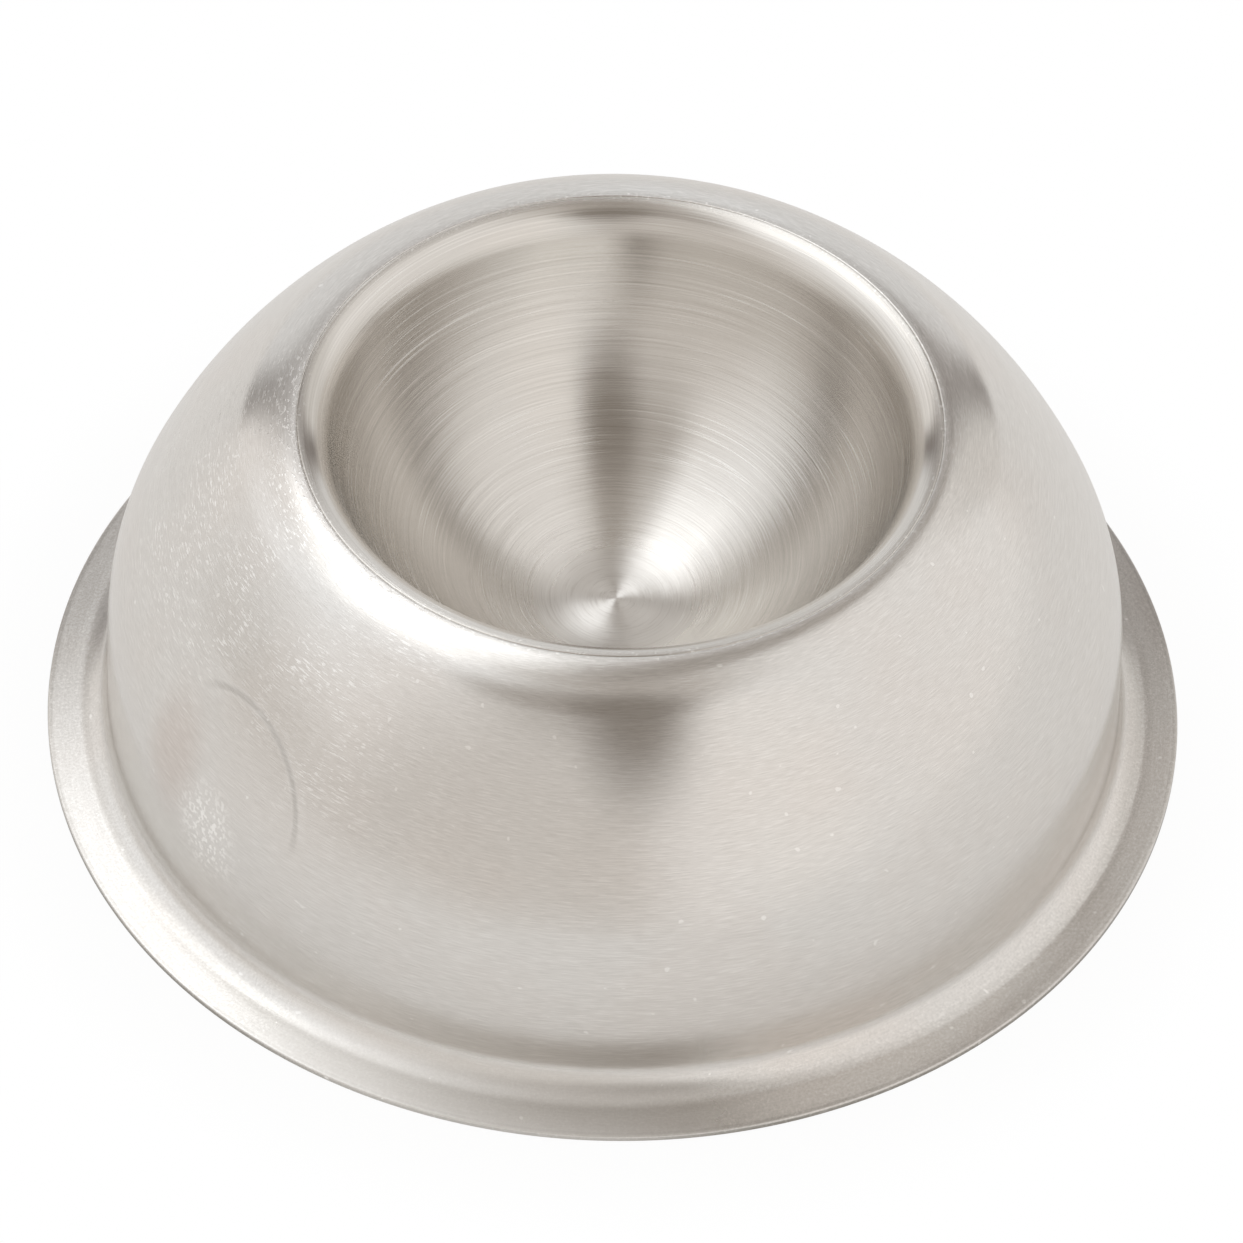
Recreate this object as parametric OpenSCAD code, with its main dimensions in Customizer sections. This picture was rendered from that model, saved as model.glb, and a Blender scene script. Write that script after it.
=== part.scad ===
// Stainless steel egg cup: a round egg bowl hung inside a domed shell that
// turns out at the bottom into a flat foot flange.
// Both are thin pressings, round about the Z axis. They meet edge to edge along
// the crest of the lip, where the joint is ground flush, and the cup is open
// underneath. It stands on z = 0, with +Z up, and the egg goes in from above.
// A lean is the angle by which a wall leans in from upright.

/* [Overall] */
// Height of the lip's crest above the table
cup_h = 30; // [26:0.5:40]
// Diameter of the crest line, where the lip is highest
crest_d = 46.6; // [40:0.2:56]
// Thickness of the steel sheet
sheet_t = 0.7; // [0.4:0.05:1]

/* [Outer shell] */
// Radius of the lip's roll, from the crest out to the dome
lip_r = 6.1; // [3:0.1:9]
// Lean where the lip's roll meets the dome, in degrees
lip_lean = 45; // [38:1:55]
// Radius of the dome's slope, from the lip down to the shoulder
dome_r = 42; // [30:1:60]
// Lean where the dome meets the shoulder, in degrees
dome_lean = 24; // [21:1:30]
// Radius of the shoulder, from the dome down to the wall
shoulder_r = 16; // [8:1:24]
// Lean of the wall below the shoulder, in degrees
wall_lean = 2; // [1:0.5:5]
// Radius of the hollow fillet between the wall and the foot flange
fillet_r = 2.4; // [1.2:0.1:4]
// Width of the flat flange, from the fillet to its edge
flange_w = 2.2; // [1:0.1:8]
// Radius that breaks the flange's cut edge, above and below
edge_r = 0.12; // [0.05:0.01:0.15]

/* [Press mark] */
// Diameter of the round press mark, whose field is bare
mark_d = 16; // [8:0.5:18]
// Depth by which the mark is set back
mark_t = 0.12; // [0.05:0.01:0.2]
// Lean of the wall at the mark's centre, in degrees
mark_lean = 19; // [10:1:20]
// Direction in which the mark faces, in degrees from +X towards +Y
mark_turn = 219.5; // [0:0.5:360]

/* [Egg bowl] */
// Depth of the bowl below the crest
bowl_depth = 18.9; // [15:0.1:23]
// Radius of the bowl's lip, from the crest in to the bowl's wall
bowl_lip_r = 1.9; // [1.2:0.1:4]

/* [Hidden] */
$fn = 180;

crest_r = crest_d / 2;

// The shell's arcs run into each other, so each centre lies on the last one's end normal
lip_c = [crest_r, cup_h - lip_r];
dome_c = lip_c + (lip_r - dome_r) * at(lip_lean);
shoulder_c = dome_c + (dome_r - shoulder_r) * at(dome_lean);
wall_top = shoulder_c + shoulder_r * at(wall_lean);
wall_foot_z = sheet_t + fillet_r * (1 - sin(wall_lean));
wall_foot_r = wall_top.x + (wall_top.y - wall_foot_z) * tan(wall_lean);
fillet_c = [wall_foot_r + fillet_r * cos(wall_lean), sheet_t + fillet_r];
flange_r = fillet_c.x + flange_w;

// The bowl is part of a ball that touches the circle of its lip
bowl_lip_c = [crest_r, cup_h - bowl_lip_r];
bowl_r = (pow(crest_r, 2) + pow(bowl_depth - bowl_lip_r, 2) - pow(bowl_lip_r, 2)) / (2 * bowl_depth);
bowl_c = [0, cup_h - bowl_depth + bowl_r];
bowl_lean = atan2(bowl_c.y - bowl_lip_c.y, crest_r);

// Straight steps that stand for each arc
lip_steps = 10;
dome_steps = 12;
shoulder_steps = 8;
fillet_steps = 8;
edge_steps = 3;
bowl_lip_steps = 8;
bowl_steps = 24;

// A point one unit out from the origin, at an angle up from the radial direction
function at(angle) = [cos(angle), sin(angle)];

// Points along an arc, of which a later arc in a chain leaves out the first
function arc(centre, radius, from, to, steps, first = 0) =
    [for (i = [first:steps]) centre + radius * at(from + (to - from) * i / steps)];

function reversed(points) = [for (i = [len(points) - 1:-1:0]) points[i]];

// The shell's lip, dome and shoulder, from the crest down, set back into the sheet by a depth
function shell_line(depth) = concat(
    arc(lip_c, lip_r - depth, 90, lip_lean, lip_steps),
    arc(dome_c, dome_r - depth, lip_lean, dome_lean, dome_steps, 1),
    arc(shoulder_c, shoulder_r - depth, dome_lean, wall_lean, shoulder_steps, 1)
);

// The fillet, from the wall's foot out to the flange, set back by a depth
function fillet_line(depth) =
    arc(fillet_c, fillet_r + depth, 180 + wall_lean, 270, fillet_steps);

// The flange's cut edge, from its top round to its underside
function edge_line() = concat(
    arc([flange_r - edge_r, sheet_t - edge_r], edge_r, 90, 0, edge_steps),
    arc([flange_r - edge_r, edge_r], edge_r, 0, -90, edge_steps)
);

// The bowl, from the crest in to its bottom, set back by a depth
function bowl_line(depth) = concat(
    arc(bowl_lip_c, bowl_lip_r - depth, 90, 180 - bowl_lean, bowl_lip_steps),
    arc(bowl_c, bowl_r + depth, -bowl_lean, -90, bowl_steps, 1)
);

// A layer of the shell's wall between two depths, all round the cup
module shell_layer(outside, inside) {
    rotate_extrude() {
        polygon(concat(
            shell_line(outside),
            [fillet_line(outside)[0]],
            [fillet_line(inside)[0]],
            reversed(shell_line(inside))
        ));
    }
}

// The round plug of space that the mark's edge encloses, square to the wall
module mark_plug() {
    mark_c = shoulder_c + shoulder_r * at(mark_lean);
    rotate([0, 0, mark_turn])
        translate([mark_c.x, 0, mark_c.y])
            rotate([0, 90 - mark_lean, 0])
                cylinder(d = mark_d, h = mark_d, center = true);
}

module outer_shell() color([0.79, 0.78, 0.76]) {
    difference() {
        union() {
            rotate_extrude() {
                polygon(concat(
                    shell_line(0),
                    fillet_line(0),
                    edge_line(),
                    reversed(fillet_line(sheet_t)),
                    reversed(shell_line(sheet_t))
                ));
            }
            // The sheet bulges inwards behind the mark
            intersection() {
                shell_layer(sheet_t / 2, sheet_t + mark_t);
                mark_plug();
            }
        }
        intersection() {
            shell_layer(-mark_t, mark_t);
            mark_plug();
        }
    }
}

module egg_bowl() color([0.72, 0.70, 0.67]) {
    rotate_extrude() {
        polygon(concat(
            bowl_line(0),
            reversed(bowl_line(sheet_t))
        ));
    }
}

outer_shell();
egg_bowl();
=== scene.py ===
"""The looks of a low domed egg cup in satin stainless steel.

The cup is two thin pressings, round about the Z axis: an outer shell that runs
from the crest of the lip down to the foot flange, and the egg bowl that hangs
inside it. Each is turned on a lathe in mesh code, on the arcs that the frame's
solids have, and gets a brushed finish that follows the way it was turned.
Everything is in metres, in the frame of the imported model.
"""

import logging
import math
from dataclasses import dataclass
from enum import Enum
from typing import Union

import bmesh
import bpy
from mathutils import Matrix, Vector


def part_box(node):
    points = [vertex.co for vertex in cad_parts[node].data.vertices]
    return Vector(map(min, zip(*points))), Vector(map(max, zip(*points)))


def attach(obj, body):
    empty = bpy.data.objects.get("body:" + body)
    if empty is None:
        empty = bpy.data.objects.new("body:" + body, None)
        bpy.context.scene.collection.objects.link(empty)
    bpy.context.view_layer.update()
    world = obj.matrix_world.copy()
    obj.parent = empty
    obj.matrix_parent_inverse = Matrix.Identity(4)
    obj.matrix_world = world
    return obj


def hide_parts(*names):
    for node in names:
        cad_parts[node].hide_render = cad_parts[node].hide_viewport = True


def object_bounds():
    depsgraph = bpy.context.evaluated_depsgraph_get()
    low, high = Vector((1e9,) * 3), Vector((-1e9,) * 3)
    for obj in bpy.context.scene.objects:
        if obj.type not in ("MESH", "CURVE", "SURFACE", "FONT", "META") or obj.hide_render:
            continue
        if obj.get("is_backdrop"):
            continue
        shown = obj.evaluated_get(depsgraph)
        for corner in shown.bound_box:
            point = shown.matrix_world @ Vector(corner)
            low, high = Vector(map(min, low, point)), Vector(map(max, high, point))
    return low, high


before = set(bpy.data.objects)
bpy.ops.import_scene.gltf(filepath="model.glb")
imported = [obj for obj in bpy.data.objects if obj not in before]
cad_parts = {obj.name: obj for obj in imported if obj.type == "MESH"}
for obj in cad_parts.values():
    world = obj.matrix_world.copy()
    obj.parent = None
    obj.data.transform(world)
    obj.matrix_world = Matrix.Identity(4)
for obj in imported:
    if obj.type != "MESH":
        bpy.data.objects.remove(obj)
cad_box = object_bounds()

LOG = logging.getLogger("egg_cup")
MM = 0.001
WELD = 1e-6
SHARP_EDGE = math.radians(32)
SIDE_ON = 0.02

Number = Union[float, "Signal"]
Colour = tuple[float, float, float]
Fade = tuple[float, float]

WHITE = (1.0, 1.0, 1.0)


def rgba(colour: Colour) -> tuple[float, float, float, float]:
    """Gives an opaque colour as a colour socket wants it."""
    return (*colour, 1.0)


def at(degrees: float) -> Vector:
    """Gives the point one unit out from the origin, at an angle up from the radial direction."""
    return Vector((math.cos(math.radians(degrees)), math.sin(math.radians(degrees))))


def heading(azimuth: float, elevation: float) -> Vector:
    """Gives the unit vector in a direction.

    Args:
        azimuth: Degrees from +X towards +Y.
        elevation: Degrees up from the floor.

    Returns:
        The direction as a vector of length one.
    """
    level = at(azimuth) * math.cos(math.radians(elevation))
    return Vector((level.x, level.y, math.sin(math.radians(elevation))))


def smooth(value: float, fade: Fade) -> float:
    """Runs smoothly from 0 to 1 as a value passes between two bounds.

    Args:
        value: The value that is looked at.
        fade: Its two bounds.

    Returns:
        The eased number.
    """
    low, high = fade
    share = min(max((value - low) / (high - low), 0.0), 1.0)
    return share * share * (3 - 2 * share)


class Signal:
    """A number that a shader graph carries. Python's operators on it add Math nodes."""

    def __init__(self, graph: "ShaderGraph", socket: bpy.types.NodeSocket) -> None:
        """Wraps an output socket.

        Args:
            graph: The graph that the socket belongs to.
            socket: The output socket that gives the number.
        """
        self.graph = graph
        self.socket = socket

    def __add__(self, other: Number) -> "Signal":
        """Adds a number or a signal."""
        return self.graph.math("ADD", self, other)

    def __radd__(self, other: Number) -> "Signal":
        """Is added to a number."""
        return self.graph.math("ADD", other, self)

    def __sub__(self, other: Number) -> "Signal":
        """Takes a number or a signal away."""
        return self.graph.math("SUBTRACT", self, other)

    def __rsub__(self, other: Number) -> "Signal":
        """Is taken away from a number."""
        return self.graph.math("SUBTRACT", other, self)

    def __mul__(self, other: Number) -> "Signal":
        """Multiplies by a number or a signal."""
        return self.graph.math("MULTIPLY", self, other)

    def __rmul__(self, other: Number) -> "Signal":
        """Is multiplied by a number."""
        return self.graph.math("MULTIPLY", other, self)

    def __truediv__(self, other: Number) -> "Signal":
        """Divides by a number or a signal."""
        return self.graph.math("DIVIDE", self, other)

    def __rtruediv__(self, other: Number) -> "Signal":
        """Divides a number."""
        return self.graph.math("DIVIDE", other, self)

    def __pow__(self, other: Number) -> "Signal":
        """Is raised to a power."""
        return self.graph.math("POWER", self, other)

    def __rpow__(self, other: Number) -> "Signal":
        """Is the power that a number is raised to."""
        return self.graph.math("POWER", other, self)

    def __abs__(self) -> "Signal":
        """Drops the sign."""
        return self.graph.math("ABSOLUTE", self)


class ShaderGraph:
    """A node tree of a material or a world, cleared and built up from Python expressions."""

    def __init__(self, owner: Union[bpy.types.Material, bpy.types.World]) -> None:
        """Takes over a material's or a world's nodes.

        Args:
            owner: The material or world, whose own nodes are removed.
        """
        owner.use_nodes = True
        self.tree = owner.node_tree
        self.tree.nodes.clear()

    def node(self, kind: str, settings: dict, inputs: dict) -> bpy.types.Node:
        """Adds one node.

        Args:
            kind: The node's type, such as ShaderNodeTexNoise.
            settings: Its properties, which are set first.
            inputs: Values, signals or sockets, by the input's name or index.

        Returns:
            The new node.
        """
        made = self.tree.nodes.new(kind)
        for name, value in settings.items():
            setattr(made, name, value)
        for key, value in inputs.items():
            source = value.socket if isinstance(value, Signal) else value
            if isinstance(source, bpy.types.NodeSocket):
                self.tree.links.new(source, made.inputs[key])
            else:
                made.inputs[key].default_value = source
        return made

    def signal(
        self, kind: str, settings: dict, inputs: dict, output: Union[int, str] = 0
    ) -> Signal:
        """Adds one node and gives one of its outputs.

        Args:
            kind: The node's type.
            settings: Its properties.
            inputs: Values, signals or sockets, by the input's name or index.
            output: The output's name or index.

        Returns:
            That output as a signal.
        """
        return Signal(self, self.node(kind, settings, inputs).outputs[output])

    def math(self, operation: str, *values: Number) -> Signal:
        """Adds a Math node on the given values."""
        return self.signal("ShaderNodeMath", {"operation": operation}, dict(enumerate(values)))

    def dot(self, vector: Signal, axis: Vector) -> Signal:
        """Gives the length of a vector's shadow on a fixed axis."""
        operation = {"operation": "DOT_PRODUCT"}
        return self.signal("ShaderNodeVectorMath", operation, {0: vector, 1: axis}, "Value")

    def ease(self, value: Number, fade: Fade, start: float = 0.0, end: float = 1.0) -> Signal:
        """Runs smoothly from one number to another as a value passes between two bounds.

        Args:
            value: The value that is looked at.
            fade: Its two bounds.
            start: The number given at and below the lower bound.
            end: The number given at and above the upper bound.

        Returns:
            The eased number.
        """
        low, high = fade
        return self.signal(
            "ShaderNodeMapRange",
            {"interpolation_type": "SMOOTHSTEP"},
            {"Value": value, "From Min": low, "From Max": high, "To Min": start, "To Max": end},
        )

    def ease_out(self, value: Number, fade: Fade) -> Signal:
        """Falls smoothly from one to nothing as a value passes between two bounds."""
        return self.ease(value, fade, 1.0, 0.0)

    def blend(self, factor: Number, first: object, second: object) -> Signal:
        """Mixes two colours.

        Args:
            factor: How much of the second colour shows, from 0 to 1.
            first: The colour at 0, or a signal that carries one.
            second: The colour at 1, or a signal that carries one.

        Returns:
            The mixed colour.
        """
        inputs = {0: factor, 6: first, 7: second}
        return self.signal("ShaderNodeMix", {"data_type": "RGBA"}, inputs, 2)

    def bump(self, relief: Signal, height: float) -> Signal:
        """Gives the normal of a surface whose relief is so high at a value of one."""
        inputs = {"Strength": 1.0, "Distance": height, "Height": relief}
        return self.signal("ShaderNodeBump", {}, inputs)

    def noise(
        self, place: Signal, detail: float = 2.0, roughness: float = 0.5, scale: float = 1.0
    ) -> Signal:
        """Gives a smooth random value about 0.5 that changes over a place.

        Args:
            place: The coordinates at which the noise is read.
            detail: How many finer layers are added.
            roughness: How strong each finer layer is.
            scale: By how much the coordinates are multiplied first.

        Returns:
            The noise value.
        """
        return self.signal(
            "ShaderNodeTexNoise",
            {"noise_dimensions": "3D"},
            {"Vector": place, "Scale": scale, "Detail": detail, "Roughness": roughness},
        )


@dataclass(frozen=True)
class Strokes:
    """The size of a random pattern of strokes that run round the axis."""

    length: float
    width: float
    radius: float
    shift: float = 0.0
    detail: float = 2.0
    roughness: float = 0.5


class Turning:
    """Coordinates on a turned sheet, read from the object's own frame."""

    def __init__(
        self, graph: ShaderGraph, rise: float, centre: tuple[float, float] = (0.0, 0.0)
    ) -> None:
        """Reads the radius, the direction round the axis and the way along the profile.

        Args:
            graph: The material's graph.
            rise: The share of the height that is added to the radius to give a
                value that only grows or only falls along the profile.
            centre: Where the axis of the turning stands.
        """
        self.graph = graph
        self.place = graph.signal("ShaderNodeTexCoord", {}, {}, "Object")
        split = graph.node("ShaderNodeSeparateXYZ", {}, {0: self.place})
        x, y, self.z = (Signal(graph, socket) for socket in split.outputs)
        self.x, self.y = x - centre[0], y - centre[1]
        self.radius = graph.math("SQRT", self.x * self.x + self.y * self.y + WELD * WELD)
        self.along = self.radius + self.z * rise

    def noise(self, strokes: Strokes) -> Signal:
        """Gives a noise that is drawn out into strokes round the axis.

        Args:
            strokes: The size of the strokes, of which the length holds at their
                radius and the width runs along the profile.

        Returns:
            The noise value.
        """
        turns = strokes.radius / strokes.length
        parts = {
            "X": self.x / self.radius * turns + strokes.shift,
            "Y": self.y / self.radius * turns,
            "Z": self.along / strokes.width,
        }
        place = self.graph.signal("ShaderNodeCombineXYZ", {}, parts)
        return self.graph.noise(place, detail=strokes.detail, roughness=strokes.roughness)

    def facing(self, azimuth: float) -> Signal:
        """Gives the cosine of the angle round the axis from a direction, in degrees from +X."""
        side = at(azimuth)
        return (self.x * side.x + self.y * side.y) / self.radius


@dataclass(frozen=True)
class CrestWear:
    """The scuffed strip along the crest of the lip, where the two pressings are ground flush."""

    strip: Fade = (0.20 * MM, 0.70 * MM)
    speckle_scale: float = 3400.0
    speckles: Fade = (0.60, 0.72)
    speckles_share: float = 0.6

    def masks(self, turned: Turning, crest_r: float) -> tuple[Signal, Signal]:
        """Finds the strip and the bright specks in it.

        Args:
            turned: The piece's coordinates.
            crest_r: The radius of the crest line.

        Returns:
            The strip, and how brightly its specks show.
        """
        graph = turned.graph
        strip = graph.ease_out(abs(turned.radius - crest_r), self.strip)
        speckle = graph.noise(turned.place, detail=1.0, scale=self.speckle_scale)
        return strip, strip * graph.ease(speckle, self.speckles) * self.speckles_share


@dataclass(frozen=True)
class Patch:
    """A patch of wear, placed from the middle of the press mark and faded out towards its edge."""

    left: float
    below: float
    flattened: float
    reach: float
    full_share: float = 0.25

    def mask(self, graph: ShaderGraph, side: Signal, rise: Signal) -> Signal:
        """Tells how much of the patch is seen at a place.

        Args:
            graph: The material's graph.
            side: How far to the right of the mark's middle the place is.
            rise: How far above it the place is.

        Returns:
            The patch's share, from 0 to 1.
        """
        across = side + self.left
        up = (rise + self.below) * self.flattened
        away = graph.math("SQRT", across * across + up * up)
        return graph.ease_out(away, (self.full_share * self.reach, self.reach))


@dataclass(frozen=True)
class MarkWear:
    """The wear in and round the press mark, with painted shade and a painted highlight along its
    crisp edge.
    """

    front: Fade = (0.0, 10 * MM)
    # The dark line in the mark's crisp edge is painted shade, and the light fringe outside it is a
    # painted highlight.
    groove_shade: Fade = (0.08 * MM, 0.42 * MM)
    groove_shade_share: float = 0.40
    fringe_highlight_away: float = 0.7 * MM
    fringe_highlight: Fade = (0.1 * MM, 0.5 * MM)
    fringe_highlight_share: float = 0.07
    stain: Patch = Patch(left=5.4 * MM, below=0.2 * MM, flattened=0.62, reach=4.4 * MM)
    stain_share: float = 0.75
    pale: Patch = Patch(left=0.2 * MM, below=3.6 * MM, flattened=0.8, reach=4.4 * MM)
    pale_share: float = 0.15
    specks_scale: float = 2700.0
    specks: Fade = (0.50, 0.62)
    specks_share: float = 0.8

    def masks(self, turned: Turning, shell: "OuterShell") -> list[Signal]:
        """Finds the wear.

        Args:
            turned: The shell's coordinates.
            shell: The shell that carries the mark.

        Returns:
            How strongly each shows: the painted shade in the mark's crisp edge, the
            painted highlight beside it, the brown stain at its far side and the
            pale specked patch below its middle.
        """
        graph, place = turned.graph, turned.place
        mark, centre = shell.mark, shell.mark_centre()
        outwards, across, upwards = mark.axes()
        faces = graph.ease(graph.dot(place, outwards), self.front)
        side = graph.dot(place, across) - centre.dot(across)
        rise = graph.dot(place, upwards) - centre.dot(upwards)
        away = graph.math("SQRT", side * side + rise * rise)
        crisp_side = at(mark.crisp_turn)
        towards_crisp = (side * crisp_side.x + rise * crisp_side.y) / (away + WELD)
        crisp = graph.ease(towards_crisp, mark.crisp) * faces
        edge = away - mark.diameter / 2
        # Painted shade along the crisp edge, and a painted highlight just outside it.
        groove_shade = graph.ease_out(abs(edge), self.groove_shade) * crisp
        fringe_highlight = graph.ease_out(abs(edge - self.fringe_highlight_away), self.fringe_highlight) * crisp
        stain = self.stain.mask(graph, side, rise) * faces
        specks = graph.noise(place, detail=1.0, scale=self.specks_scale)
        specks = graph.ease(specks, self.specks) * self.specks_share + self.pale_share
        pale = self.pale.mask(graph, side, rise) * faces * specks
        shares = self.groove_shade_share, self.fringe_highlight_share, self.stain_share
        return [mask * share for mask, share in zip((groove_shade, fringe_highlight, stain), shares)] + [pale]


@dataclass(frozen=True)
class FlangeWear:
    """The matt grit of the foot flange, its rubbed front with a painted sheen, and painted shade on
    its edges.
    """

    foot: Fade = (0.9 * MM, 3.2 * MM)
    flat: Fade = (0.75 * MM, 1.05 * MM)
    flat_dark: float = 0.16
    # The darkening of the cut edge and of the line inside it is painted shade.
    cut_inset: Fade = (0.10 * MM, 0.03 * MM)
    cut_height: Fade = (0.30 * MM, 0.50 * MM)
    cut_painted_shade: float = 0.85
    rim_inset: float = 0.27 * MM
    rim: Fade = (0.05 * MM, 0.17 * MM)
    rim_painted_shade: float = 0.22
    rubbed_sheen_face: float = 258.0
    rubbed_sheen: Fade = (0.88, 0.99)
    painted_sheen_share: float = 0.45
    rubbed_rougher: float = 0.18
    grit_scale: float = 4600.0
    grit_roughness: float = 0.7

    def masks(self, turned: Turning) -> tuple[Signal, Signal, Signal]:
        """Finds the flange and its wear.

        Args:
            turned: The shell's coordinates.

        Returns:
            The flange with its fillet, its rubbed stretch with a painted sheen, and its grit.
        """
        graph = turned.graph
        foot = graph.ease_out(turned.z, self.foot)
        # The rubbed stretch at the front: its lightening is a painted sheen, and its extra
        # roughness is the rubbing itself.
        rubbed_sheen = foot * graph.ease(turned.facing(self.rubbed_sheen_face), self.rubbed_sheen)
        grit = graph.noise(turned.place, roughness=self.grit_roughness, scale=self.grit_scale)
        return foot, rubbed_sheen, grit

    def darken(self, dark: Signal, turned: Turning, foot: Signal, flange_r: float) -> Signal:
        """Darkens the flange's top, and puts painted shade on its cut edge and on the line inside
        that edge.

        Args:
            dark: How dark the shell is without them.
            turned: The shell's coordinates.
            foot: The flange with its fillet.
            flange_r: The radius of the flange's edge.

        Returns:
            How dark the shell is with them.
        """
        graph = turned.graph
        flat = graph.ease_out(turned.z, self.flat)
        starts, ends = self.cut_inset
        # Painted shade: the lower half of the cut edge is darkened, as a contact shadow would
        # darken it.
        cut = graph.ease(turned.radius, (flange_r - starts, flange_r - ends))
        cut = cut * graph.ease_out(turned.z, self.cut_height)
        # Painted shade: a thin dark line just inside the edge.
        rim = graph.ease_out(abs(turned.radius - flange_r + self.rim_inset), self.rim) * foot
        return dark + flat * self.flat_dark + cut * self.cut_painted_shade + rim * self.rim_painted_shade


@dataclass(frozen=True)
class SatinSteel:
    """The shell's finish: finely brushed round the cup, scuffed on one side, matt on the flange."""

    name: str = "satin_steel"
    steel: Colour = (0.725, 0.707, 0.682)
    warm: Colour = (0.722, 0.686, 0.652)
    pale_and_painted_sheen: Colour = (0.97, 0.96, 0.94)
    dull_and_shade: Colour = (0.36, 0.34, 0.31)
    stained: Colour = (0.645, 0.585, 0.545)
    roughness: float = 0.20
    foot_roughness: float = 0.23
    anisotropy: float = 0.45
    along_turning: float = 0.25
    grain: Strokes = Strokes(1.3 * MM, 0.10 * MM, 37 * MM, detail=3.0, roughness=0.6)
    grain_dark: Fade = (0.28, 0.50)
    grain_dark_share: float = 0.14
    grain_bright: Fade = (0.46, 0.76)
    grain_bright_share: float = 0.34
    grain_height: float = 0.0022 * MM
    grain_lost: float = 0.6
    grit_dark: Fade = (0.30, 0.52)
    grit_dark_share: float = 0.14
    grit_bright: Fade = (0.50, 0.74)
    grit_bright_share: float = 0.28
    grit_rise: float = 0.8
    clouds: Strokes = Strokes(9.0 * MM, 1.4 * MM, 37 * MM, shift=7.0)
    clouds_rougher: float = 0.10
    dashes: Strokes = Strokes(0.75 * MM, 0.17 * MM, 32 * MM, shift=3.0)
    dashed: Fade = (0.57, 0.67)
    dashes_rise: float = 1.5
    dashes_rougher: float = 0.10
    scuffs_face: float = 203.0
    scuffs_turn: Fade = (0.58, 0.97)
    scuffs_height: Fade = (14 * MM, 23 * MM)
    scuffs_scale: float = 140.0
    scuffs: Fade = (0.36, 0.60)
    scuffs_share: float = 0.85
    scuffs_elsewhere: float = 0.06
    warm_scale: float = 75.0
    warm_patches: Fade = (0.42, 0.66)
    warm_share: float = 0.55
    dust_scale: float = 1500.0
    dust: Fade = (0.83, 0.86)
    dust_share: float = 0.5
    crest: CrestWear = CrestWear()
    crest_rougher: float = 0.05
    mark: MarkWear = MarkWear()
    flange: FlangeWear = FlangeWear()

    def material(self, shell: "OuterShell") -> bpy.types.Material:
        """Builds the finish.

        Args:
            shell: The shell, whose sizes place the wear.

        Returns:
            The material.
        """
        made = bpy.data.materials.new(self.name)
        graph = ShaderGraph(made)
        turned = Turning(graph, rise=-1.0)
        foot, rubbed_sheen, grit = self.flange.masks(turned)
        groove_shade, fringe_highlight, stain, pale = self.mark.masks(turned, shell)
        crest, crest_specks = self.crest.masks(turned, shell.crest_r)
        grain = turned.noise(self.grain)
        dashes = graph.ease(turned.noise(self.dashes), self.dashed)
        side = graph.ease(turned.facing(self.scuffs_face), self.scuffs_turn)
        side = side * graph.ease(turned.z, self.scuffs_height)

        worn = graph.ease(graph.noise(turned.place, scale=self.scuffs_scale), self.scuffs)
        dust = graph.ease(graph.noise(turned.place, detail=0.0, scale=self.dust_scale), self.dust)
        bright = dashes * worn * (side * self.scuffs_share + self.scuffs_elsewhere)
        bright = bright + crest_specks + dust * self.dust_share
        # The fringe beside the mark is a painted highlight, and the rubbed front of the flange gets
        # a painted sheen.
        bright = bright + pale + fringe_highlight + rubbed_sheen * self.flange.painted_sheen_share
        grained = 1.0 - foot * self.grain_lost
        dark = grained * graph.ease_out(grain, self.grain_dark) * self.grain_dark_share
        dark = dark + foot * graph.ease_out(grit, self.grit_dark) * self.grit_dark_share
        # Painted shade: the dark line at the mark's crisp edge, added before the flange's
        # darkening.
        dark = self.flange.darken(dark + groove_shade, turned, foot, shell.flange_r)

        patches = graph.noise(turned.place, detail=3.0, scale=self.warm_scale)
        patches = graph.ease(patches, self.warm_patches) * self.warm_share
        base = graph.blend(patches, rgba(self.steel), rgba(self.warm))
        base = graph.blend(stain, base, rgba(self.stained))
        # The dull colour carries the dark grain and grit, and also the painted shade of the mark's
        # edge and the flange's edges.
        base = graph.blend(dark, base, rgba(self.dull_and_shade))
        shine = grained * graph.ease(grain, self.grain_bright) * self.grain_bright_share
        base = graph.blend(shine, base, rgba(self.pale_and_painted_sheen))
        shine = foot * graph.ease(grit, self.grit_bright) * self.grit_bright_share
        base = graph.blend(shine, base, rgba(self.pale_and_painted_sheen))
        # The pale colour here carries scuffs, specks and dust, and also the painted highlights of
        # the mark's fringe and the flange's front.
        base = graph.blend(graph.math("MINIMUM", bright, 1.0), base, rgba(self.pale_and_painted_sheen))

        rough = (turned.noise(self.clouds) - 0.5) * self.clouds_rougher + self.roughness
        rough = rough + crest * self.crest_rougher + dashes * side * self.dashes_rougher
        rough = rough + foot * (self.foot_roughness - self.roughness)
        rough = rough + rubbed_sheen * self.flange.rubbed_rougher
        relief = grain + dashes * side * self.dashes_rise + foot * grit * self.grit_rise
        bump = graph.bump(relief, self.grain_height)
        finish_metal(graph, base, rough, bump, self.anisotropy, self.along_turning)
        return made


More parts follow.
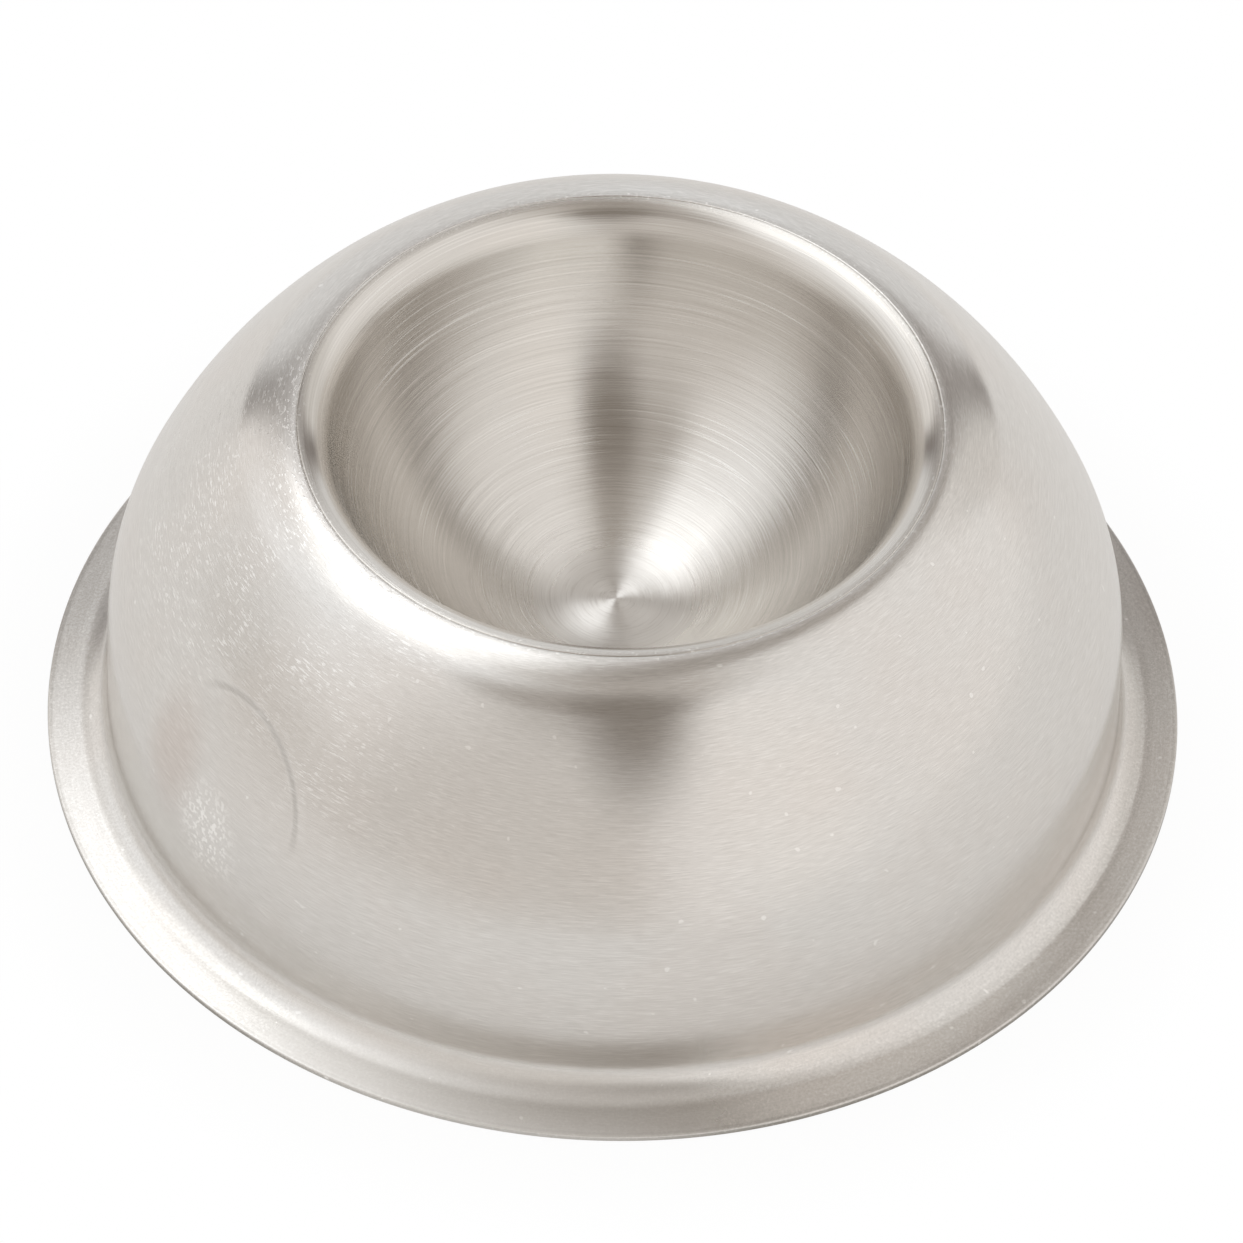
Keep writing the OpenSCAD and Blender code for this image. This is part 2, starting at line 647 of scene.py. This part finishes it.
@dataclass(frozen=True)
class TurnedSteel:
    """The bowl's finish: fine concentric lines and longer scores from the tool that turned it, the
    scores with a painted highlight.
    """

    name: str = "turned_steel"
    steel: Colour = (0.715, 0.690, 0.655)
    bright: Colour = (0.97, 0.96, 0.93)
    dark: Colour = (0.44, 0.41, 0.37)
    polished: Colour = (0.88, 0.86, 0.83)
    roughness: float = 0.18
    bottom_roughness: float = 0.30
    anisotropy: float = 1.0
    along_turning: float = 0.25
    lines: Strokes = Strokes(12 * MM, 0.16 * MM, 15 * MM, detail=3.0, roughness=0.65)
    lines_dark: Fade = (0.30, 0.50)
    lines_dark_share: float = 0.24
    lines_bright: Fade = (0.52, 0.72)
    lines_bright_share: float = 0.30
    lines_rise: float = 2.6
    line_height: float = 0.004 * MM
    rings: Strokes = Strokes(30 * MM, 0.9 * MM, 15 * MM, shift=5.0)
    rings_rise: float = 3.5
    rings_rougher: float = 0.10
    scores: Strokes = Strokes(20 * MM, 0.12 * MM, 15 * MM, shift=11.0)
    scored: Fade = (0.62, 0.68)
    swirls: Strokes = Strokes(14 * MM, 0.11 * MM, 15 * MM, shift=17.0)
    swirled: Fade = (0.65, 0.70)
    swirl_centre: tuple[float, float] = (1.3 * MM, -0.9 * MM)
    clusters_scale: float = 110.0
    clustered: Fade = (0.42, 0.62)
    scores_alone: float = 0.2
    painted_glint_share: float = 0.85
    scores_rougher: float = 0.12
    bottom: Fade = (3 * MM, 13 * MM)
    bottom_share: float = 0.75
    crest: CrestWear = CrestWear()
    crest_rougher: float = 0.08

    def material(self, crest_r: float) -> bpy.types.Material:
        """Builds the finish.

        Args:
            crest_r: The radius of the crest line, where the finish is scuffed.

        Returns:
            The material.
        """
        made = bpy.data.materials.new(self.name)
        graph = ShaderGraph(made)
        turned = Turning(graph, rise=1.0)
        swirled = Turning(graph, rise=1.0, centre=self.swirl_centre)
        lines = turned.noise(self.lines)
        rings = turned.noise(self.rings)
        clusters = graph.noise(turned.place, detail=1.0, scale=self.clusters_scale)
        clusters = graph.ease(clusters, self.clustered)
        scores = graph.ease(turned.noise(self.scores), self.scored)
        swirls = graph.ease(swirled.noise(self.swirls), self.swirled)
        bottom = graph.ease_out(turned.radius, self.bottom)
        crest, specks = self.crest.masks(turned, crest_r)
        # The scores are rougher, and their base colour is lightened as a painted highlight where
        # they would catch the light.
        scratches_with_glint = scores * (clusters * (1.0 - self.scores_alone) + self.scores_alone)
        scratches_with_glint = scratches_with_glint + swirls * clusters

        base = graph.blend(bottom * self.bottom_share, rgba(self.steel), rgba(self.polished))
        shade = graph.ease_out(lines, self.lines_dark) * self.lines_dark_share
        base = graph.blend(shade, base, rgba(self.dark))
        shine = graph.ease(lines, self.lines_bright) * self.lines_bright_share
        base = graph.blend(shine, base, rgba(self.bright))
        # Painted highlight on the scores, together with the crest's scuffed specks.
        bright = graph.math("MINIMUM", scratches_with_glint * self.painted_glint_share + specks, 1.0)
        base = graph.blend(bright, base, rgba(self.bright))

        rough = (rings - 0.5) * self.rings_rougher + self.roughness
        rough = rough + scratches_with_glint * self.scores_rougher + crest * self.crest_rougher
        rough = rough + bottom * (self.bottom_roughness - self.roughness)
        bump = graph.bump(rings * self.rings_rise + lines * self.lines_rise, self.line_height)
        finish_metal(graph, base, rough, bump, self.anisotropy, self.along_turning)
        return made


def finish_metal(
    graph: ShaderGraph, base: Signal, rough: Signal, bump: Signal, anisotropy: float, turn: float
) -> None:
    """Ends a metal's graph in its shader.

    Args:
        graph: The material's graph.
        base: The metal's colour.
        rough: Its roughness.
        bump: Its normal, from a bump.
        anisotropy: How much further the gloss spreads across the brushing.
        turn: The turn of that spread from the direction round the axis, as a share of a full turn.
    """
    inputs = {
        "Base Color": base,
        "Metallic": 1.0,
        "Roughness": rough,
        "Normal": bump,
        "Anisotropic": anisotropy,
        "Anisotropic Rotation": turn,
    }
    shader = graph.signal("ShaderNodeBsdfPrincipled", {}, inputs)
    graph.node("ShaderNodeOutputMaterial", {}, {"Surface": shader})


@dataclass(frozen=True)
class Arc:
    """A stretch of a circle in the half plane of radius and height."""

    centre: Vector
    radius: float
    start: float
    end: float
    steps: int

    def points(self, inset: float = 0.0, first: int = 0, thin: int = 1) -> list[Vector]:
        """Gives points along the arc.

        Args:
            inset: How much smaller the circle is made, with its centre kept.
            first: The step to begin with, 1 where the last arc already gave the start.
            thin: By how much the steps are cut down.

        Returns:
            The points, in order.
        """
        reach = self.radius - inset
        steps = self.steps // thin
        turn = (self.end - self.start) / steps
        return [self.centre + reach * at(self.start + turn * i) for i in range(first, steps + 1)]


def line(start: Vector, end: Vector, steps: int) -> list[Vector]:
    """Gives the points between two ends, without the ends themselves."""
    return [start.lerp(end, i / steps) for i in range(1, steps)]


@dataclass(frozen=True)
class Sweep:
    """One stretch of a turn about the Z axis, made of equal sections."""

    angle: float
    sections: int
    steps: int

    def turn(
        self, sheet: bmesh.types.BMesh, profile: list[Vector], closed: bool, start: float
    ) -> None:
        """Turns a profile through this stretch.

        Args:
            sheet: The mesh that gets the new faces.
            profile: Points of radius and height.
            closed: Whether the last point joins the first.
            start: The direction in which the stretch starts, in degrees from +X.
        """
        rows = [sheet.verts.new((point.x, 0, point.y)) for point in profile]
        pairs = zip(rows, rows[1:] + rows[:1]) if closed else zip(rows, rows[1:])
        edges = [sheet.edges.new(pair) for pair in pairs]
        bmesh.ops.rotate(sheet, verts=rows, matrix=Matrix.Rotation(math.radians(start), 3, "Z"))
        known = set(sheet.verts) - set(rows)
        step = math.radians(self.angle / self.sections)
        axis = {"axis": (0, 0, 1), "cent": (0, 0, 0)}
        bmesh.ops.spin(sheet, geom=rows + edges, angle=step, steps=self.steps, **axis)
        verts = [vert for vert in sheet.verts if vert not in known]
        faces = dict.fromkeys(face for vert in verts for face in vert.link_faces)
        links = dict.fromkeys(edge for vert in verts for edge in vert.link_edges)
        for section in range(1, self.sections):
            copy = bmesh.ops.duplicate(sheet, geom=[*verts, *links, *faces])
            placed = [part for part in copy["geom"] if isinstance(part, bmesh.types.BMVert)]
            bmesh.ops.rotate(sheet, verts=placed, matrix=Matrix.Rotation(step * section, 3, "Z"))


def turn_sheet(
    profile: list[Vector], closed: bool, start: float, sweeps: list[Sweep]
) -> bmesh.types.BMesh:
    """Turns a profile about the Z axis into a closed sheet.

    Args:
        profile: Points of radius and height, all round the sheet's section.
        closed: Whether the last point joins the first. If not, both are on the axis.
        start: The direction in which the turn starts, in degrees from +X.
        sweeps: The stretches of the turn, which come to 360 degrees together.

    Returns:
        The sheet, with its faces outwards and its corners marked as sharp.
    """
    sheet = bmesh.new()
    for sweep in sweeps:
        sweep.turn(sheet, profile, closed, start)
        start += sweep.angle
    bmesh.ops.remove_doubles(sheet, verts=sheet.verts, dist=WELD)
    bmesh.ops.recalc_face_normals(sheet, faces=sheet.faces)
    for face in sheet.faces:
        face.smooth = True
    for edge in sheet.edges:
        edge.smooth = edge.calc_face_angle(0.0) < SHARP_EDGE
    sort_faces(sheet)
    return sheet


def sort_faces(sheet: bmesh.types.BMesh) -> None:
    """Puts the faces in the order of their corners, so that each run gives the same mesh.

    Args:
        sheet: The mesh, whose corners come in the same order each time by themselves.
    """
    sheet.verts.index_update()
    count = len(sheet.verts)

    def order(face: bmesh.types.BMFace) -> int:
        """Makes one number of a face's three lowest corners, which no other face shares."""
        first, second, third = sorted(vert.index for vert in face.verts)[:3]
        return (first * count + second) * count + third

    sheet.faces.sort(key=order)


def make_piece(name: str, mesh: bmesh.types.BMesh, finish: bpy.types.Material) -> bpy.types.Object:
    """Makes an object at the origin from a finished mesh.

    Args:
        name: The piece's name.
        mesh: The mesh, which is freed.
        finish: Its material.

    Returns:
        The new object.
    """
    data = bpy.data.meshes.new(name)
    mesh.to_mesh(data)
    mesh.free()
    data.materials.append(finish)
    piece = bpy.data.objects.new(name, data)
    bpy.context.scene.collection.objects.link(piece)
    return piece


@dataclass(frozen=True)
class PressMark:
    """The round mark that a press left in the shell's side, crisp only on its right."""

    diameter: float = 16 * MM
    depth: float = 0.12 * MM
    lean: float = 19.0
    turn: float = 219.5
    crisp_turn: float = 65.0
    crisp: Fade = (0.40, 0.78)
    crisp_step: float = 0.30 * MM
    soft_step: float = 4.0 * MM
    reach: float = 14.5

    def axes(self) -> tuple[Vector, Vector, Vector]:
        """Gives the mark's own directions.

        Returns:
            The direction out of the mark, the one to its right and the one up it.
        """
        outwards = heading(self.turn, self.lean)
        across = heading(self.turn + 90.0, 0.0)
        return outwards, across, outwards.cross(across)

    def press(self, sheet: bmesh.types.BMesh, centre: Vector) -> None:
        """Sets the mark into both faces of a sheet.

        Args:
            sheet: The shell's mesh.
            centre: The middle of the mark on the shell's outside.
        """
        outwards, across, upwards = self.axes()
        radius = self.diameter / 2
        for vert in sheet.verts:
            offset = vert.co - centre
            side, rise, out = offset.dot(across), offset.dot(upwards), offset.dot(outwards)
            away = math.hypot(side, rise)
            if away > radius + self.soft_step or abs(out) > radius:
                continue
            crisp = self.crispness(math.degrees(math.atan2(rise, side)))
            half_step = self.soft_step + (self.crisp_step - self.soft_step) * crisp
            edge = (radius - half_step, radius + half_step)
            vert.co -= outwards * self.depth * (1.0 - smooth(away, edge))

    def crispness(self, turn: float) -> float:
        """Tells how crisp the mark's edge is.

        Args:
            turn: The place on the edge, in degrees up from the mark's right side.

        Returns:
            1 where the edge is crisp and 0 where it runs out.
        """
        return smooth(math.cos(math.radians(turn - self.crisp_turn)), self.crisp)


@dataclass
class OuterShell:
    """The pressed shell: lip, dome, shoulder, wall, fillet and foot flange."""

    crest_r: float
    cup_h: float
    flange_r: float
    sheet_t: float = 0.7 * MM
    lip_r: float = 6.1 * MM
    lip_lean: float = 45.0
    dome_r: float = 42 * MM
    dome_lean: float = 24.0
    shoulder_r: float = 16 * MM
    wall_lean: float = 2.0
    fillet_r: float = 2.4 * MM
    edge_r: float = 0.12 * MM
    flange_fall: float = 0.18 * MM
    crest_round: float = 0.08 * MM
    mark: PressMark = PressMark()
    wall_steps: int = 15

    def __post_init__(self) -> None:
        """Works out the arcs, each of which runs into the next."""
        lip_c = Vector((self.crest_r, self.cup_h - self.lip_r))
        dome_c = lip_c + (self.lip_r - self.dome_r) * at(self.lip_lean)
        shoulder_c = dome_c + (self.dome_r - self.shoulder_r) * at(self.dome_lean)
        wall_top = shoulder_c + self.shoulder_r * at(self.wall_lean)
        lean = math.radians(self.wall_lean)
        foot_z = self.sheet_t + self.fillet_r * (1 - math.sin(lean))
        foot_r = wall_top.x + (wall_top.y - foot_z) * math.tan(lean)
        fillet_c = Vector((foot_r + self.fillet_r * math.cos(lean), self.sheet_t + self.fillet_r))
        self.mark_c = shoulder_c + self.shoulder_r * at(self.mark.lean)
        self.lip = Arc(lip_c, self.lip_r, 90.0, self.lip_lean, steps=30)
        self.dome = Arc(dome_c, self.dome_r, self.lip_lean, self.dome_lean, steps=60)
        self.shoulder = Arc(
            shoulder_c, self.shoulder_r, self.dome_lean, self.wall_lean, steps=27
        )
        self.fillet = Arc(fillet_c, self.fillet_r, 180.0 + self.wall_lean, 270.0, steps=18)

    def mark_centre(self) -> Vector:
        """Gives the middle of the press mark on the shell's outside."""
        spot = at(self.mark.turn) * self.mark_c.x
        return Vector((spot.x, spot.y, self.mark_c.y))

    def wall_face(self, inset: float, thin: int = 1) -> list[Vector]:
        """Gives the profile from the crest out and down to the flange.

        Args:
            inset: How deep in the sheet the face lies.
            thin: By how much the steps along it are cut down.

        Returns:
            The points, from the crest down.
        """
        upper = self.lip.points(inset, 0, thin)
        upper += self.dome.points(inset, 1, thin) + self.shoulder.points(inset, 1, thin)
        lower = self.fillet.points(-inset, 0, thin)
        return upper + line(upper[-1], lower[0], self.wall_steps // thin) + lower

    def profile(self) -> list[Vector]:
        """Gives the outline of the sheet's section.

        Returns:
            The points, from the crest down the outside and back up the inside.
        """
        edge_x = self.flange_r - self.edge_r
        edge_top = self.sheet_t - self.flange_fall
        top_c = Vector((edge_x, edge_top - self.edge_r))
        low_c = Vector((edge_x, self.edge_r))
        top_corner = Arc(top_c, self.edge_r, 90.0, 0.0, steps=4)
        low_corner = Arc(low_c, self.edge_r, 0.0, -90.0, steps=4)
        outside = self.wall_face(0.0)
        inside = self.wall_face(self.sheet_t, thin=3)
        inside[0].x = self.crest_r
        round_c = Vector((self.crest_r + self.crest_round, self.cup_h - self.crest_round))
        crest = Arc(round_c, self.crest_round, 180.0, 90.0, steps=3)
        flange = line(outside[-1], top_corner.points()[0], steps=4)
        edge = top_corner.points() + low_corner.points()
        return crest.points() + outside[1:] + flange + edge + inside[::-1]

    def build(self, finish: SatinSteel) -> bpy.types.Object:
        """Turns the shell and presses its mark.

        Args:
            finish: The shell's finish.

        Returns:
            The finished piece.
        """
        fine = Sweep(angle=2 * self.mark.reach, sections=4, steps=26)
        rest = Sweep(angle=360.0 - fine.angle, sections=12, steps=22)
        sheet = turn_sheet(self.profile(), True, self.mark.turn - self.mark.reach, [fine, rest])
        self.mark.press(sheet, self.mark_centre())
        return make_piece("shell_sheet", sheet, finish.material(self))


@dataclass
class EggBowl:
    """The round bowl that holds the egg, from the crest of the lip in and down."""

    crest_r: float
    cup_h: float
    bottom_z: float
    sheet_t: float = 0.7 * MM
    lip_r: float = 1.9 * MM
    lip_turn: float = 50.0
    throat_r: float = 4.5 * MM
    wall_r: float = 26.0 * MM
    heel_r: float = 9.0 * MM
    flat_r: float = 3.0 * MM
    flat_steps: int = 12
    crest_round: float = 0.08 * MM

    def __post_init__(self) -> None:
        """Works out the arcs, each of which runs into the next: lip, throat, wall and heel."""
        lip_c = Vector((self.crest_r, self.cup_h - self.lip_r))
        lip_end = 90.0 + self.lip_turn
        throat_c = lip_c + (self.lip_r - self.throat_r) * at(lip_end)
        heel_c = Vector((self.flat_r, self.bottom_z + self.sheet_t + self.heel_r))
        wall_c = self.wall_centre(throat_c, heel_c)
        lean = math.degrees(math.atan2(wall_c.y - throat_c.y, throat_c.x - wall_c.x))
        heel_turn = math.degrees(math.atan2(heel_c.x - wall_c.x, wall_c.y - heel_c.y))
        self.lip = Arc(lip_c, self.lip_r, 90.0, lip_end, steps=12)
        self.throat = Arc(throat_c, self.throat_r, lip_end, 180.0 - lean, steps=18)
        self.wall = Arc(wall_c, self.wall_r, -lean, heel_turn - 90.0, steps=60)
        self.heel = Arc(heel_c, self.heel_r, heel_turn - 90.0, -90.0, steps=18)

    def wall_centre(self, throat_c: Vector, heel_c: Vector) -> Vector:
        """Finds the centre of the wall's arc, which runs into the throat's and the heel's.

        Args:
            throat_c: The centre of the throat's arc.
            heel_c: The centre of the heel's arc.

        Returns:
            The centre of the wall's arc.
        """
        apart = throat_c - heel_c
        ahead = apart.normalized()
        from_heel = self.wall_r - self.heel_r
        from_throat = self.wall_r + self.throat_r
        along = (from_heel ** 2 - from_throat ** 2 + apart.length_squared) / (2 * apart.length)
        aside = math.sqrt(from_heel ** 2 - along ** 2)
        return heel_c + ahead * along + Vector((-ahead.y, ahead.x)) * aside

    def face(self, inset: float, thin: int = 1) -> list[Vector]:
        """Gives the profile from the crest in to the bottom.

        Args:
            inset: How deep in the sheet the face lies.
            thin: By how much the steps along it are cut down.

        Returns:
            The points, the last of them on the axis.
        """
        points = self.lip.points(inset, 0, thin) + self.throat.points(inset, 1, thin)
        points += self.wall.points(-inset, 1, thin) + self.heel.points(-inset, 1, thin)
        bottom = Vector((0.0, points[-1].y))
        points[0].x = self.crest_r
        return points + line(points[-1], bottom, self.flat_steps // thin) + [bottom]

    def build(self, finish: TurnedSteel) -> bpy.types.Object:
        """Turns the bowl.

        Args:
            finish: The bowl's finish.

        Returns:
            The finished piece.
        """
        round_c = Vector((self.crest_r - self.crest_round, self.cup_h - self.crest_round))
        crest = Arc(round_c, self.crest_round, 90.0, 0.0, steps=3)
        inside = self.face(0.0)[:0:-1]
        profile = inside + crest.points() + self.face(self.sheet_t, thin=3)
        sheet = turn_sheet(profile, False, 0.0, [Sweep(angle=360.0, sections=16, steps=22)])
        return make_piece("bowl_sheet", sheet, finish.material(self.crest_r))


class Outline(Enum):
    """The outline of a card in the studio, by the power of its rounded shape."""

    OVAL = 2.0
    PANEL = 6.0


@dataclass(frozen=True)
class Card:
    """A soft light or dark card of the studio, placed by the direction in which it stands."""

    azimuth: float
    elevation: float
    half_width: float
    half_height: float
    soft: float
    tone: Colour
    outline: Outline = Outline.OVAL
    cover: float = 1.0
    inner: float = 0.0

    def mask(self, graph: ShaderGraph, towards: Signal) -> Signal:
        """Tells how much of the card is seen in a direction.

        Args:
            graph: The world's graph.
            towards: The direction, as a unit vector.

        Returns:
            The card's share, from 0 to its cover.
        """
        ahead = heading(self.azimuth, self.elevation)
        across = heading(self.azimuth + 90.0, 0.0)
        front = graph.dot(towards, ahead)
        power = self.outline.value
        half_wide = math.tan(math.radians(self.half_width))
        half_high = math.tan(math.radians(self.half_height))
        wide = abs(graph.dot(towards, across) / front / half_wide)
        high = abs(graph.dot(towards, ahead.cross(across)) / front / half_high)
        reach = (wide ** power + high ** power) ** (1.0 / power)
        soft = self.soft / min(self.half_width, self.half_height)
        shown = graph.ease_out(reach, (1.0 - soft, 1.0 + soft))
        if self.inner:
            shown = shown * graph.ease(reach, (1.0 - self.inner, 1.0 - soft))
        return shown * graph.math("GREATER_THAN", front, SIDE_ON) * self.cover


@dataclass
class Studio:
    """The pale floor and the soft light around the cup."""

    floor_half: float = 1.5
    floor_drop: float = 0.05 * MM
    floor_white: Colour = (0.93, 0.925, 0.915)
    shade_kept: float = 0.05
    shade: Fade = (43 * MM, 53 * MM)
    mirrored: float = 0.22
    room: Colour = (0.95, 0.925, 0.90)
    front_left: Card = Card(245, 2, 36, 36, 13, (0.73, 0.69, 0.65))
    left_wall: Card = Card(172, 42, 23, 50, 14, (1.06, 1.06, 1.06))
    low_left: Card = Card(184, 1, 30, 16, 11, (0.73, 0.70, 0.665))
    low_right: Card = Card(58, 16, 25, 31, 6, (0.78, 0.755, 0.725))
    ceiling: Card = Card(290, 85, 13, 26, 11, (0.52, 0.48, 0.44))
    high_front: Card = Card(255, 57, 20, 18, 8, (0.48, 0.445, 0.41))
    key_wide: Card = Card(142, 63, 16, 12.5, 7, (1.65, 1.66, 1.66), Outline.PANEL)
    key_core: Card = Card(103.5, 56, 10.5, 9, 2.2, (1.9, 1.92, 1.94), Outline.PANEL)
    boom: Card = Card(80, 62, 6.9, 26, 1.2, (0.38, 0.345, 0.31))
    backdrop: Card = Card(96, 3, 37, 38, 3, (0.83, 0.825, 0.82))
    backdrop_rim: Card = Card(92.5, -2, 42.5, 49.5, 5, (0.23, 0.205, 0.19), cover=0.94, inner=0.34)
    slit: Card = Card(87, 29, 3.6, 12, 2.5, (0.92, 0.93, 0.94))
    low_front: Card = Card(309, 24, 15, 28, 8, (0.98, 0.945, 0.91))
    camera_side: Card = Card(276.5, 50.5, 12, 24, 6, (0.26, 0.23, 0.20))

    def build_floor(self) -> bpy.types.Object:
        """Lays the floor just under the cup.

        Returns:
            The floor.
        """
        ground = bmesh.new()
        bmesh.ops.create_grid(ground, x_segments=1, y_segments=1, size=self.floor_half)
        bmesh.ops.translate(ground, verts=ground.verts, vec=(0, 0, -self.floor_drop))
        return make_piece("floor", ground, self.floor_material())

    def floor_material(self) -> bpy.types.Material:
        """Builds the white of the floor, which keeps the cup's shadow and is clear from below.

        Returns:
            The material.
        """
        made = bpy.data.materials.new("floor_white")
        graph = ShaderGraph(made)
        place = graph.signal("ShaderNodeTexCoord", {}, {}, "Object")
        away = graph.signal("ShaderNodeVectorMath", {"operation": "LENGTH"}, {0: place}, "Value")
        path = graph.node("ShaderNodeLightPath", {}, {})
        camera = Signal(graph, path.outputs["Is Camera Ray"])
        mirrors = path.outputs["Is Glossy Ray"], path.outputs["Is Transmission Ray"]
        glossy = graph.math("MAXIMUM", *mirrors)
        lit = graph.signal("ShaderNodeBsdfDiffuse", {}, {"Color": rgba(self.floor_white)})
        plain = graph.signal("ShaderNodeEmission", {}, {"Color": rgba(WHITE), "Strength": 1.0})
        share = camera * graph.ease(away, self.shade, 1.0 - self.shade_kept, 1.0)
        share = share + glossy * self.mirrored
        top = graph.signal("ShaderNodeMixShader", {}, {0: share, 1: lit, 2: plain})
        below = graph.signal("ShaderNodeNewGeometry", {}, {}, "Backfacing")
        clear = graph.signal("ShaderNodeBsdfTransparent", {}, {})
        surface = graph.signal("ShaderNodeMixShader", {}, {0: below, 1: top, 2: clear})
        graph.node("ShaderNodeOutputMaterial", {}, {"Surface": surface})
        return made

    def light(self) -> bpy.types.World:
        """Builds the studio's light, card over card, with a white background for the camera.

        Returns:
            The world.
        """
        world = bpy.data.worlds.new("studio")
        graph = ShaderGraph(world)
        towards = graph.signal("ShaderNodeTexCoord", {}, {}, "Generated")
        cards = [
            self.front_left,
            self.left_wall,
            self.low_left,
            self.low_right,
            self.ceiling,
            self.high_front,
            self.key_wide,
            self.key_core,
            self.boom,
            self.backdrop,
            self.backdrop_rim,
            self.slit,
            self.low_front,
            self.camera_side,
        ]
        tone = rgba(self.room)
        for card in cards:
            tone = graph.blend(card.mask(graph, towards), tone, rgba(card.tone))
        camera = graph.signal("ShaderNodeLightPath", {}, {}, "Is Camera Ray")
        colour = graph.blend(camera, tone, rgba(WHITE))
        shader = graph.signal("ShaderNodeBackground", {}, {"Color": colour, "Strength": 1.0})
        graph.node("ShaderNodeOutputWorld", {}, {"Surface": shader})
        bpy.context.scene.world = world
        return world


@dataclass
class Viewpoint:
    """The camera, where the photograph was taken from."""

    elevation: float = 46.539
    distance: float = 486.26 * MM
    aim: tuple[float, float, float] = (0.145 * MM, -0.03 * MM, 15 * MM)
    focal_px: float = 6597.4
    image_px: float = 1243.0
    off_right_px: float = 4.34
    off_down_px: float = 59.21
    roll: float = 1.591
    sensor: float = 36.0

    def build(self) -> bpy.types.Object:
        """Sets the camera up, turned from the aim to the middle of the image.

        Returns:
            The camera.
        """
        back = heading(-90.0, self.elevation)
        right = Vector((1, 0, 0))
        up = back.cross(right)
        ahead = -back * self.focal_px + right * self.off_right_px - up * self.off_down_px
        rolled = Matrix.Rotation(math.radians(self.roll), 3, "Z")
        turn = (ahead.to_track_quat("-Z", "Y").to_matrix() @ rolled).to_4x4()
        data = bpy.data.cameras.new("camera")
        data.sensor_width = self.sensor
        data.lens = self.sensor * self.focal_px / self.image_px
        camera = bpy.data.objects.new("camera", data)
        camera.matrix_world = Matrix.Translation(Vector(self.aim) + back * self.distance) @ turn
        bpy.context.scene.collection.objects.link(camera)
        bpy.context.scene.camera = camera
        return camera


def fit(piece: bpy.types.Object, node: str) -> None:
    """Puts a finished piece in the place of its solid.

    Args:
        piece: The finished piece.
        node: The solid that it stands for.
    """
    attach(piece, "root")
    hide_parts(node)
    LOG.info("%s: %d faces, in the place of %s", piece.name, len(piece.data.polygons), node)


def main() -> None:
    """Builds the cup, the floor, the light and the camera."""
    logging.basicConfig(level=logging.INFO, format="%(name)s: %(message)s")
    bpy.context.scene.view_settings.view_transform = "Standard"
    Viewpoint().build()
    studio = Studio()
    studio.build_floor()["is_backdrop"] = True
    studio.light()
    shell_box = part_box("outer_shell")
    bowl_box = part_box("egg_bowl")
    crest_r = bowl_box[1][0]
    cup_h = shell_box[1][2]
    shell = OuterShell(crest_r=crest_r, cup_h=cup_h, flange_r=shell_box[1][0])
    fit(shell.build(SatinSteel()), "outer_shell")
    bowl = EggBowl(crest_r=crest_r, cup_h=cup_h, bottom_z=bowl_box[0][2])
    fit(bowl.build(TurnedSteel()), "egg_bowl")
    plain(cad_box)
    plain(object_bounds())


def plain(box: tuple) -> list[list[float]]:
    """Gives a box's two corners as plain lists of numbers."""
    return [[float(value) for value in corner] for corner in box]


if __name__ == "__main__":
    main()
